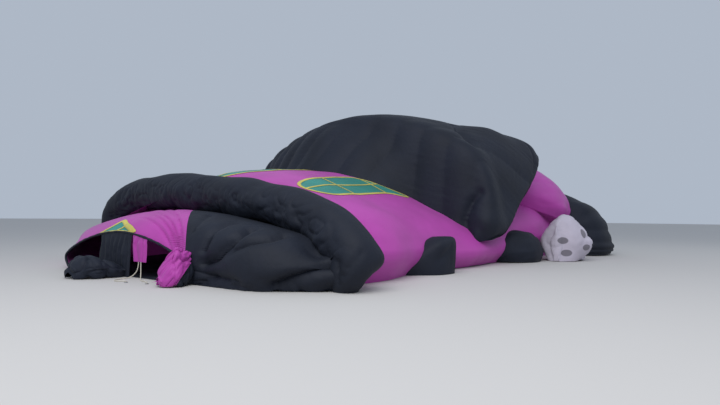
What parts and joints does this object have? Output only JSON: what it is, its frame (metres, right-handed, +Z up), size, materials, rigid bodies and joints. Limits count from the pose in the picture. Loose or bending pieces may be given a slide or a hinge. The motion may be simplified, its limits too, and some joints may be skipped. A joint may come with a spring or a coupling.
{
  "type": "hot air balloon envelope",
  "caption": "Special-shape hot air balloon laid on its side, half filled with cold air: black hood and brim, pink body with green windows.",
  "frame": {"origin": "centre of the bounding box, on the ground", "axes": "+X from the mouth to the crown, +Y from the near side to the far side, +Z up"},
  "size_m": [21.4693, 14.7007, 6.08],
  "materials": {
    "black_fabric": "coated ripstop nylon, black",
    "pink_fabric": "coated ripstop nylon, magenta pink",
    "green_fabric": "coated ripstop nylon, teal green",
    "yellow_tape": "sewn nylon tape, yellow",
    "white_fabric": "coated ripstop nylon, pale grey",
    "webbing": "polyester webbing and line",
    "alloy": "satin"
  },
  "bodies": {
    "envelope": {"mouth_floor": "black_fabric", "body_near_side": "pink_fabric", "body_near_top": "pink_fabric", "body_far_top": "pink_fabric", "body_far_side": "pink_fabric", "body_near_waist": "pink_fabric", "body_far_waist": "pink_fabric", "body_near_aft": "pink_fabric", "body_far_aft": "pink_fabric", "body_back": "pink_fabric", "body_floor": "black_fabric", "hood_front": "black_fabric", "hood_near_flap": "black_fabric", "hood_far_flap": "black_fabric", "hood_back": "black_fabric", "hood_near_underside": "black_fabric", "hood_far_underside": "black_fabric", "crown_near_side": "black_fabric", "crown_top": "black_fabric", "crown_far_side": "black_fabric", "crown_floor": "black_fabric", "mouth_gore_1": "black_fabric", "mouth_gore_2": "black_fabric", "mouth_gore_3": "black_fabric", "mouth_gore_4": "black_fabric", "mouth_stem": "pink_fabric", "window_near_pane": "green_fabric", "window_near_lattice": "yellow_tape", "window_far_pane": "green_fabric", "window_far_lattice": "yellow_tape", "window_mouth_pane": "green_fabric", "window_mouth_lattice": "yellow_tape", "brim_near_end": "black_fabric", "brim_near": "black_fabric", "brim_middle": "black_fabric", "brim_far": "black_fabric", "brim_far_end": "black_fabric", "hood_end": "black_fabric", "near_lobe": "pink_fabric", "far_lobe": "pink_fabric", "near_fore_foot": "black_fabric", "far_fore_foot": "black_fabric", "near_mid_foot": "black_fabric", "far_mid_foot": "black_fabric", "ball": "white_fabric", "crown_end": "black_fabric", "crown_tapes": "webbing", "crown_ring": "alloy", "mouth_hem": "black_fabric", "mouth_pink_curtain": "pink_fabric", "mouth_black_curtain": "black_fabric", "mouth_black_heap": "black_fabric", "mouth_pink_heap": "pink_fabric", "flying_line_1": "webbing", "flying_line_ring_1": "alloy", "flying_line_2": "webbing", "flying_line_ring_2": "alloy"},
    "vent": {"parachute_vent": "pink_fabric"}
  },
  "joints": [
    {"name": "vent_slide", "type": "slide", "parent": "envelope", "child": "vent", "axis": [-1, 0, 0], "range_m": [0, 0.8]}
  ]
}
